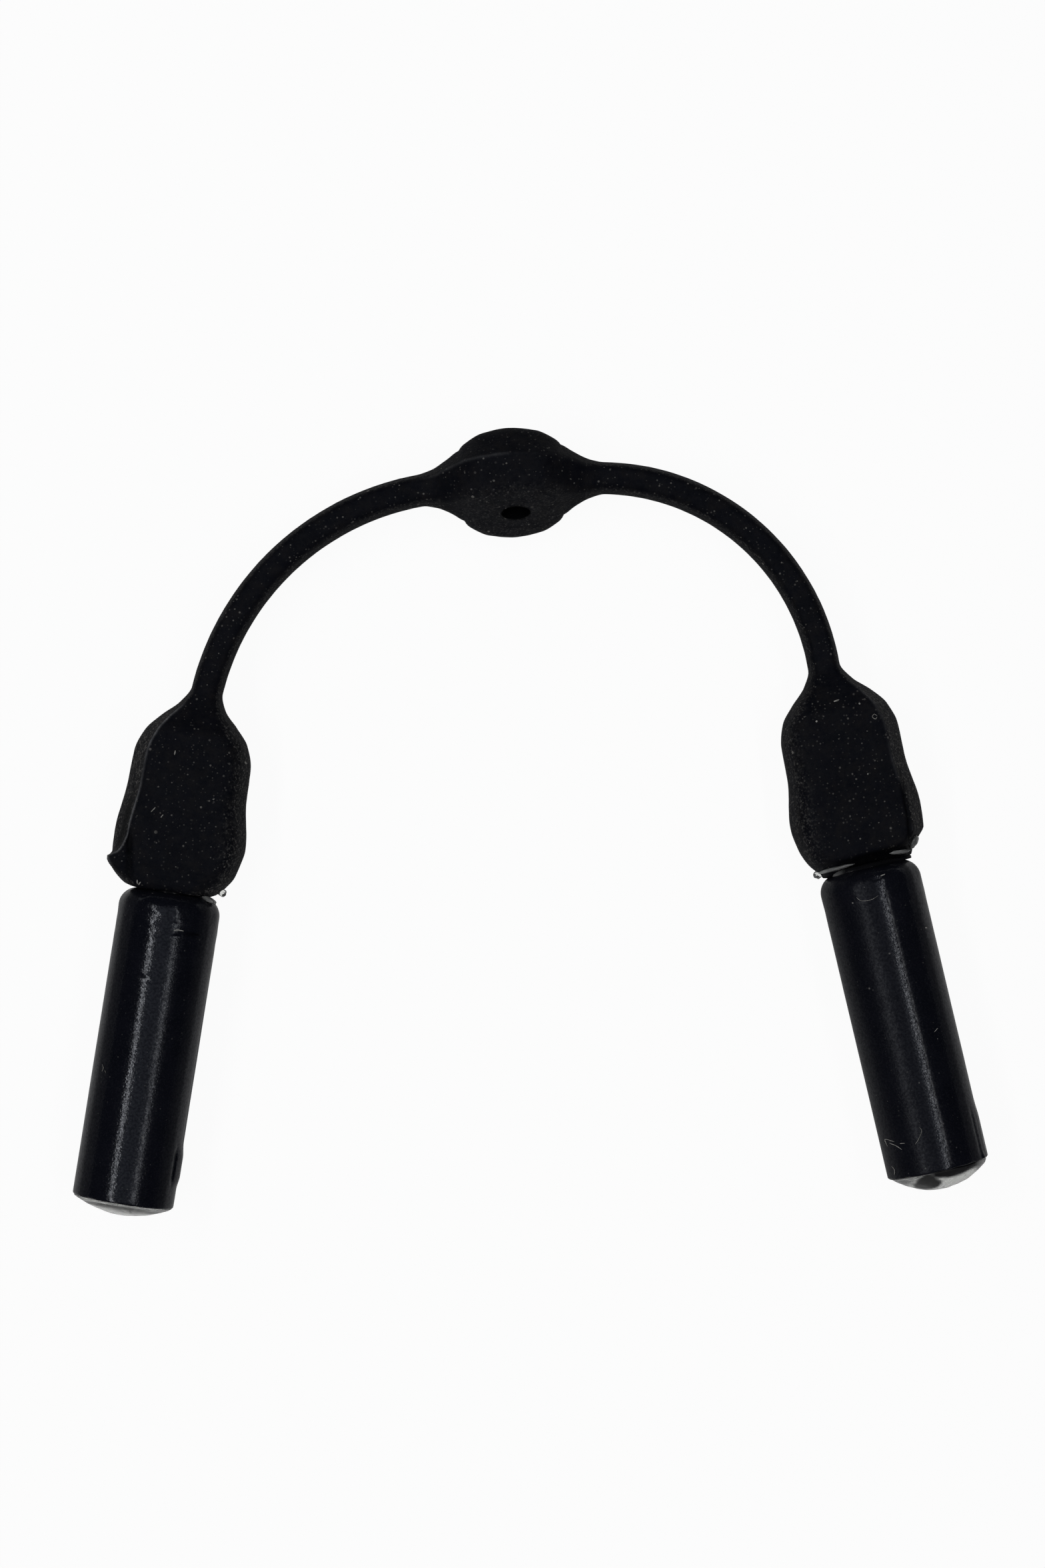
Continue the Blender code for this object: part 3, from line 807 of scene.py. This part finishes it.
def crease(run, turn, at, centre, spread, height, width, tilt, sag):
    """A short fold that runs round the sleeve: a ridge with a groove beside it. Angles in degrees."""
    off = (np.degrees(turn) - centre) / spread
    line = at + tilt * off + sag * off**2
    window = np.clip(1 - off**2, 0, 1)
    return height * window * (hill(run, line, width) - 0.8 * hill(run, line + 1.9 * width, width))


SLEEVE_CREASES = {  # distance down, centre and half its spread in degrees, height, width, tilt, sag
    "left": (
        (0.95, -14, 20, 0.03, 0.07, 0.1, 0.1),
        (1.25, 10, 26, 0.034, 0.08, -0.05, 0.15),
        (1.55, -22, 16, 0.022, 0.06, 0.12, -0.05),
        (1.9, 18, 30, 0.05, 0.07, 0.05, 0.1),
        (2.35, -10, 18, 0.02, 0.08, -0.1, 0.08),
        (2.8, 14, 16, 0.018, 0.09, 0.06, 0.0),
        (4.1, -13, 12, 0.04, 0.07, 0.12, 0.0),
        (6.3, -12, 9, 0.02, 0.07, -0.06, 0.0),
    ),
    "right": (
        (0.42, 9, 16, 0.045, 0.05, -0.1, 0.0),
        (0.75, -12, 14, 0.02, 0.06, -0.12, 0.0),
        (1.5, 3, 20, 0.045, 0.06, -0.05, 0.06),
        (2.2, 14, 10, 0.018, 0.08, 0.05, 0.0),
        (3.1, 10, 14, 0.035, 0.09, 0.12, 0.0),
    ),
}


def sleeve_relief(side):
    seed = 5 if side == "left" else 9

    def relief(radius, run, turn):
        degrees = np.degrees(turn)
        outside = (radius > SLEEVE_RADIUS - 0.02) | (run < SHOULDER_RADIUS) & (radius > MOUTH_RADIUS + 0.2)
        around = around_rod(SLEEVE_RADIUS, run, turn)
        out = 0.006 * lumps(around / (1, 1, 2.2), 1.5, seed) + 0.0018 * lumps(around, 0.38, seed + 1)
        out += 0.01 * lumps(around, 0.5, seed + 2) * (1 - smooth(1.5, 4.2, run))
        out += 0.014 * np.sin(turn * 11 + 2 * lumps(around, 1.4, seed + 3)) * (1 - smooth(0.5, 1.6, run))
        for fold in SLEEVE_CREASES[side]:
            out += crease(run, turn, *fold)
        if side == "left":
            out -= 0.035 * hill(degrees, 83, 2.2) * plateau(3.0, 6.0, 12.2, 12.9, run)
            lens = plateau(12.0, 12.8, 13.7, 14.4, run)
            out += lens * (0.1 * hill(degrees, 84, 13) - 0.1 * hill(degrees, 66, 2.6))
        else:
            seam = smooth(12.2, 13.2, run)
            out += seam * 0.035 * plateau(57, 62, 100, 125, degrees)
            out -= seam * 0.05 * hill(degrees, 60, 2.0)
            ripple = np.sin(np.radians(degrees) * 26 + 1.6 * lumps(around, 1.1, seed + 4))
            out += seam * 0.012 * ripple * plateau(61, 66, 100, 115, degrees)
            out += 0.08 * hill(degrees, 62, 4) * hill(run, 15.1, 0.22)
        ragged = 0.03 * lumps(around, 0.6, seed + 6) + 0.02 * np.cos(turn - 0.4)
        run = run + np.where(run > SLEEVE_LENGTH[side] - 0.15, ragged, 0.0)
        return radius + np.where(outside, out, 0.0), run

    return relief


def sleeve_profile(length):
    """(radius, distance down), from the mouth over the shoulder, down the outside and back up inside."""
    arc = [math.radians(90 * k / 12) for k in range(13)]
    wall = SHOULDER_RADIUS - SLEEVE_WALL
    centre = SLEEVE_RADIUS - SHOULDER_RADIUS
    out = [(centre + SHOULDER_RADIUS * math.sin(a), SHOULDER_RADIUS * (1 - math.cos(a))) for a in arc]
    straight = length - 0.08 - SHOULDER_RADIUS
    count = round(straight / SLEEVE_STEP)
    out += [(SLEEVE_RADIUS, SHOULDER_RADIUS + straight * k / count) for k in range(1, count + 1)]
    out += [(SLEEVE_RADIUS - 0.015, length - 0.03), (SLEEVE_RADIUS - 0.05, length)]
    out += [(SLEEVE_BORE + 0.04, length), (SLEEVE_BORE, length - 0.05)]
    out += [(SLEEVE_BORE, 10.0), (SLEEVE_BORE, 4.0), (SLEEVE_BORE, SHOULDER_RADIUS)]
    inside = [(centre + wall * math.sin(a), SHOULDER_RADIUS - wall * math.cos(a)) for a in arc[::-3]]
    out += inside[1:]
    out += [(MOUTH_RADIUS, SLEEVE_WALL), (MOUTH_RADIUS, 0.02)]
    return out


def make_sleeve(side, material):
    profile = sleeve_profile(SLEEVE_LENGTH[side])
    grid, turns = round_grid(side, profile, SLEEVE_ROUND, sleeve_relief(side))
    degrees = np.degrees(turns)[None] + np.zeros(grid.shape[:2])
    radius, run = columns(profile)
    if side == "left":
        flank = plateau(34, 46, 54, 64, abs(degrees))
        worn = 0.22 * smooth(-3, 4, degrees)
        mark = -0.9 * hill(run, 1.86 - 0.004 * (degrees - 24), 0.07)  # painted shade along a short fold
        mark *= plateau(22, 26, 42, 47, degrees)
    else:
        flank = plateau(34, 46, 50, 60, abs(degrees))
        worn = 0.85 * (1 - smooth(-1, 7, degrees)) + 0.25 * smooth(12, 16, degrees)
        mark = hill(degrees, 12.6, 1.1) * plateau(0.9, 2.0, 14.6, 15.1, run)  # a painted highlight: the thin bright line along the right highlight's edge
    outside = radius > SLEEVE_RADIUS - 0.1
    shape = Shape()
    shape.add_rings(grid, closed=True, dust=np.maximum(worn, flank), edge=mark * outside)
    sleeve = make_piece(f"{side}_shrink_sleeve", shape, material, 55)
    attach(sleeve, f"{side}_end")
    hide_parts(f"{side}_sleeve")


def make_seal(side, material):
    """The domed plug of clear adhesive in the sleeve's open end. On the right it holds a dark inclusion,
    and a painted shadow lies under the sleeve's rim.
    """
    rim = SLEEVE_LENGTH[side]
    bore = SLEEVE_BORE - 0.06

    def relief(radius, run, turn):
        around = around_rod(radius, run, turn)
        free = smooth(rim, rim + 0.15, run)
        bulge = 0.06 * lumps(around, 1.3, 21) + 0.03 * lumps(around, 0.45, 22)
        if side == "right":
            bulge += 0.1 * np.cos(turn - 1.9) * radius / SEAL_RADIUS
        return radius, run + free * bulge

    inner = CORE_END + 0.1
    profile = [(0.02, inner), (1.0, inner), (bore - 0.1, inner), (bore, inner + 0.1)]
    profile += [(bore, rim - 0.1), (bore + 0.02, rim + 0.04), (SEAL_RADIUS, rim + 0.04)]
    for k in range(1, 25):
        share = k / 24
        radius = SEAL_RADIUS * math.cos(share * math.pi / 2) ** 0.8
        height = SEAL_RISE[side] * (1 - (radius / SEAL_RADIUS) ** 2.2)
        profile.append((max(radius, 0.02), rim + 0.06 + height))
    grid, turns = round_grid(side, profile, ADHESIVE_ROUND, relief)
    radius, run = columns(profile)
    sideways = np.sin(turns)[None] * radius
    run = run + 0 * sideways
    inclusion_and_painted_shadow = milky = np.zeros(sideways.shape)
    if side == "right":
        off = np.hypot((sideways + 0.76) / 0.72, (run - 15.69) / 0.42) + 0.4 * lumps(grid, 0.6, 51)
        shadow = 0.22 + 0.24 * hill(sideways, 0.5, 0.8)  # how far the painted shadow under the sleeve's rim reaches past it
        painted_rim_shadow = 1 - smooth(shadow - 0.07, shadow + 0.07, run - rim)
        painted_rim_shadow = painted_rim_shadow * plateau(-0.9, -0.3, 1.7, 2.3, sideways)
        # the dark inclusion, joined to the painted shadow under the rim
        inclusion_and_painted_shadow = np.maximum(0.96 - 0.96 * smooth(0.8, 1.05, off), painted_rim_shadow)
        inclusion_and_painted_shadow = inclusion_and_painted_shadow * smooth(0, 0.3, np.cos(turns))[None]
        milky = 0.5 * smooth(rim, rim + 0.1, run)
    shape = Shape()
    shape.add_rings(grid, edge=inclusion_and_painted_shadow, dust=milky)
    seal = make_piece(f"{side}_clear_end", shape, material, 60)
    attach(seal, f"{side}_end")
    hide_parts(f"{side}_end_seal")


BEADS = {  # sideways, down, up, half sizes, tilt, milkiness, darkness as painted shade
    "left": (
        (2.44, -0.38, 0.15, (0.22, 0.19, 0.28), 0.3, 0.1, 0.0),
        (1.88, 0.03, 0.85, (0.42, 0.13, 0.36), 0.35, 0.3, 0.35),
    ),
    "right": (
        (-2.44, -0.2, 0.1, (0.21, 0.2, 0.25), 0.0, 0.2, 0.0),
        (-1.5, -0.32, 1.15, (0.92, 0.11, 0.38), -0.03, 0.8, 0.0),
        (1.6, -0.41, 1.05, (0.6, 0.13, 0.3), 0.14, 0.6, 0.55),
        (2.5, -0.76, 0.55, (0.22, 0.38, 0.62), 0.62, 0.3, 0.0),
    ),
}


def make_bond(side, material):
    """The adhesive between the paddle and the rod, and what is squeezed out. Its collar is painted dark as
    the shade in the gap under the paddle, except where the bond is clear.
    """
    bore = SLEEVE_BORE - 0.1

    def relief(radius, run, turn):
        around = around_rod(2, run, turn)
        collar = (run < 0.08) & (radius > 1.2)
        squeezed = 0.08 * lumps(around, 0.9, 31)
        for centre, spread, reach, _ in SQUEEZED[side]:
            squeezed += reach * hill(np.degrees(turn), centre, spread)
        return radius + np.where(collar, squeezed, 0.0), run

    profile = [(0.02, -0.2), (1.0, -0.2), (1.28, -0.2), (1.4, -0.14), (1.46, -0.05), (1.45, 0.05)]
    profile += [(1.38, 0.1), (1.38, SLEEVE_WALL + 0.08), (1.6, SLEEVE_WALL + 0.1)]
    profile += [(bore, 1.0), (bore, 2.85), (1.0, 2.9), (0.02, 2.9)]
    grid, turns = round_grid(side, profile, ADHESIVE_ROUND, relief)
    degrees = np.degrees(turns)
    out = sum(clear * hill(degrees, centre, spread) for centre, spread, _, clear in SQUEEZED[side])
    # painted shade: the collar is dark wherever the squeezed bond is not clear
    shaded = (1 - smooth(0.25, 0.6, out))[None] + 0 * grid[..., 0]
    shape = Shape()
    shape.add_rings(grid, edge=shaded)
    bond = make_piece(f"{side}_clear_bond", shape, material, 60)
    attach(bond, f"{side}_end")
    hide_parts(f"{side}_bond")


def make_beads(side, material):
    """Drops of adhesive that came out between the paddle and the sleeve."""
    top, down, across = rod_axes(side)
    bead = Shape()
    for sideways, run, rise, sizes, tilt, milk, shade in BEADS[side]:
        bm = bmesh.new()
        bmesh.ops.create_icosphere(bm, subdivisions=4, radius=1.0)
        points = []
        for v in bm.verts:
            swell = 1 + 0.22 * noise.noise(v.co * 1.6 + Vector((sideways * 9, 0, 0)))
            x, y, z = np.array(v.co) * sizes * swell
            x, y = x * math.cos(tilt) - y * math.sin(tilt), x * math.sin(tilt) + y * math.cos(tilt)
            points.append(top + across * (sideways + x) + down * (run + y) + (0, 0, rise + z))
        faces = [tuple(v.index for v in f.verts) for f in bm.faces]
        bm.free()
        # shade paints the drop dark as shade between the paddle and the sleeve
        bead.add(points, faces, dust=np.full(len(points), milk), edge=np.full(len(points), shade))
    blob = make_piece(f"{side}_squeezed_bead", bead, material, 80)
    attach(blob, f"{side}_end")


# ---- lint ----

SLEEVE_LINT_LIFT = 0.02
PADDLE_LINT_LIFT = 0.01
FIBRE_SIDES = 6
FIBRE_TAPER = 0.55
PATH_STEPS = 6


def on_sleeve(side, points):
    """Points given as (sideways, down) on a sleeve's front, in space."""
    top, down, across = rod_axes(side)
    path = []
    for sideways, run in points:
        rise = math.sqrt(max(SLEEVE_RADIUS**2 - sideways**2, 0.0))
        away = across * sideways + (0, 0, rise)
        path.append(top + down * run + away * (1 + SLEEVE_LINT_LIFT / SLEEVE_RADIUS))
    return path


def rounded_path(points):
    """A Catmull-Rom path through the points."""
    points = [np.array(p, float) for p in points]
    points = [2 * points[0] - points[1]] + points + [2 * points[-1] - points[-2]]
    path = []
    for a, b, c, d in zip(points, points[1:], points[2:], points[3:]):
        for k in range(PATH_STEPS):
            t = k / PATH_STEPS
            bend = (2 * a - 5 * b + 4 * c - d) * t**2 + (3 * b - a - 3 * c + d) * t**3
            path.append(0.5 * (2 * b + (c - a) * t + bend))
    return path + [points[-2]]


def on_paddle(side, points):
    """Points given as (outwards, distance from the neck) on a paddle's front, in space."""
    path = []
    for outwards, run in points:
        along = SIDES[side]["neck"] + run
        point, angle = spine(side, along)
        across, rise, _ = section_ring(side, along)
        order = np.argsort(across[rise > 0])
        height = np.interp(outwards, across[rise > 0][order], rise[rise > 0][order])
        place = point + to_outside(side, angle) * outwards
        path.append(place + (0, 0, height + PADDLE_LINT_LIFT))
    return path


PADDLE_LINT = {  # (outwards, from the neck) along each fibre, then its radius
    "left": (
        ((1.58, 6.34), (1.4, 6.08), 0.028),
        ((1.06, 6.52), (0.96, 6.36), 0.024),
        ((0.9, 3.18), (0.91, 3.4), 0.034),
        ((-2.5, 3.16), (-2.58, 3.26), 0.055),
        ((-1.32, 5.18), (-1.36, 5.24), 0.05),
        ((1.7, 9.72), (1.66, 9.92), 0.036),
        ((1.52, 9.8), (1.6, 9.95), 0.03),
    ),
    "right": (
        ((-1.05, 2.54), (-0.98, 2.6), 0.055),
        ((0.02, 1.8), (0.3, 1.76), 0.04),
        ((0.88, 5.58), (0.93, 5.62), 0.05),
        ((1.2, 2.12), (1.25, 2.2), 0.045),
        ((1.94, 2.93), (1.82, 2.81), (1.7, 2.92), (1.82, 3.05), (1.93, 2.97), 0.016),
    ),
}

SLEEVE_LINT = {  # (sideways, down) along each fibre, then its radius
    "left": (
        ((0.5, 1.74), (0.72, 1.69), (0.96, 1.7), 0.03),
        ((-1.95, 8.78), (-1.86, 8.95), (-1.9, 9.12), 0.016),
        ((-1.78, 9.02), (-1.7, 9.16), 0.014),
        ((0.55, 11.9), (0.66, 12.0), 0.016),
    ),
    "right": (
        ((0.42, 0.5), (0.66, 0.46), 0.03),
        ((-0.95, 1.25), (-0.75, 1.46), (-0.3, 1.52), (0.1, 1.4), 0.012),
        ((2.02, 3.5), (2.1, 3.52), 0.035),
        ((1.24, 8.52), (1.44, 8.38), 0.016),
        ((-2.2, 13.5), (-2.23, 13.15), (-1.85, 13.32), 0.018),
        ((-2.08, 13.35), (-1.82, 13.52), (-1.6, 13.75), 0.02),
        ((-1.62, 13.45), (-1.4, 13.48), 0.018),
        ((-0.55, 12.85), (-0.48, 13.05), (-0.7, 13.4), (-0.92, 13.62), 0.014),
        ((-2.22, 14.5), (-2.14, 14.7), (-2.2, 14.95), 0.018),
    ),
}


def make_lint(side, material):
    shape = Shape()
    for laid, fibres in ((on_sleeve, SLEEVE_LINT), (on_paddle, PADDLE_LINT)):
        for *points, radius in fibres[side]:
            shape.add_tube(rounded_path(laid(side, points)), radius)
    lint = make_piece(f"{side}_lint", shape, material)
    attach(lint, f"{side}_end")


# ---- stage ----

FLOOR_HALF = 1.5  # metres
FLOOR_LEVEL = -0.03 * MM  # just under the strap, which lies on 0
LIGHT_TARGET = (0, -16, 0)
CAMERA_TARGET = (-0.41, -14.86, MID_HEIGHT)
CAMERA_HEIGHT = 280.0
CAMERA_ROLL = math.radians(-3.6)
VIEW_TALL = 77.1  # what the frame's long side spans in the strap's middle plane


def backdrop(name, camera_light, other_light, grey):
    """Paper that is bright to the camera and dimmer to the object, by the kind of ray."""
    n = Nodes(name)
    ray = n.add("ShaderNodeLightPath").outputs
    seen = n.math("MAXIMUM", ray["Is Camera Ray"], ray["Is Transmission Ray"])
    glow = n.add("ShaderNodeEmission", {"Strength": n.span(seen, 0, 1, other_light, camera_light)})
    paper = n.add("ShaderNodeBsdfDiffuse", {"Color": (grey, grey, grey)})
    both = n.add("ShaderNodeAddShader", {0: glow.outputs[0], 1: paper.outputs[0]})
    n.put(n.tree.nodes["Material Output"].inputs["Surface"], both.outputs[0])
    n.tree.nodes.remove(n.shader)
    return n.owner


def make_floor():
    mesh = bpy.data.meshes.new("floor")
    signs = ((-1, -1), (1, -1), (1, 1), (-1, 1))
    corners = [(x * FLOOR_HALF, y * FLOOR_HALF, FLOOR_LEVEL) for x, y in signs]
    mesh.from_pydata(corners, [], [(0, 1, 2, 3)])
    floor = place_object("floor", mesh)
    mesh.materials.append(backdrop("white_paper", 0.945, 0.25, 0.1))


def make_world():
    """White behind the object, and nearly black for what it reflects."""
    bpy.context.scene.world = bpy.data.worlds.new("studio")
    n = Nodes(bpy.context.scene.world)
    seen = n.add("ShaderNodeLightPath").outputs["Is Camera Ray"]
    shown = n.mix(seen, (0.009, 0.01, 0.013), (0.96, 0.96, 0.965))
    n.put(n.tree.nodes["Background"].inputs["Color"], shown)


def add_light(name, place, size, radiance, tint=(1, 1, 1)):
    """A rectangular light. Its radiance is what a mirror would show of it."""
    light = bpy.data.lights.new(name, "AREA")
    light.shape = "RECTANGLE"
    light.size, light.size_y = (edge * MM for edge in size)
    light.energy = radiance * math.pi * light.size * light.size_y
    light.color = tint
    lamp = place_object(name, light)
    lamp.location = Vector(place) * MM
    back = (Vector(place) - Vector(LIGHT_TARGET)).normalized()
    side = Vector((0, 1, 0)).cross(back).normalized()
    lamp.rotation_mode = "QUATERNION"
    lamp.rotation_quaternion = Matrix((side, back.cross(side), back)).transposed().to_quaternion()
    lamp.visible_camera = False


def make_lights():
    add_light("strip_left", (-192, -16, 357), (24, 520), 8.4)
    add_light("strip_right", (160, -16, 380), (21, 520), 5.6)
    add_light("panel", (0, -16, 420), (320, 420), 0.26, (0.85, 0.9, 1.0))


def make_camera():
    data = bpy.data.cameras.new("camera")
    data.lens = data.sensor_width * CAMERA_HEIGHT / VIEW_TALL
    data.clip_start, data.clip_end = 0.01, 10
    camera = place_object("camera", data)
    camera.location = (Vector(CAMERA_TARGET) + Vector((0, 0, CAMERA_HEIGHT))) * MM
    camera.rotation_euler = (0, 0, CAMERA_ROLL)
    bpy.context.scene.camera = camera


def check_layout():
    """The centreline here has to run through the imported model's joints."""
    for side in SIDES:
        neck_hinge = SIDES[side]["neck"] - NECK_HINGE_BACK
        for joint, along in (("arm_flex", ROOT_HINGE), ("neck_flex", neck_hinge)):
            packed = next(j for j in frame["joints"] if j["name"] == f"{side}_{joint}")
            off = (Vector(packed["pos_m"]) - strap_point(side, along)).length
            if off > 0.05 * MM:
                raise ValueError(f"{side}_{joint} is {off / MM:.2f} mm off the centreline")


def main():
    check_layout()
    rubber = silicone("black_silicone_skin")
    skin = sleeve_skin("black_sleeve_skin")
    clear = adhesive("clear_adhesive_skin")
    metal = steel("core_steel_skin")
    fibre = lint_fibre("pale_lint")
    boss = boss_piece(rubber)
    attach(boss, "bridge")
    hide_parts("centre_boss")
    for side in SIDES:
        strap_pieces(side, rubber)
        make_sleeve(side, skin)
        make_seal(side, clear)
        make_bond(side, clear)
        make_beads(side, clear)
        make_lint(side, fibre)
        for slot in frame["nodes"][f"{side}_core"].material_slots:
            slot.material = metal
    make_floor()
    make_world()
    make_lights()
    make_camera()
    view = bpy.context.scene.view_settings
    view.view_transform = "Standard"
    view.look = "None"


main()
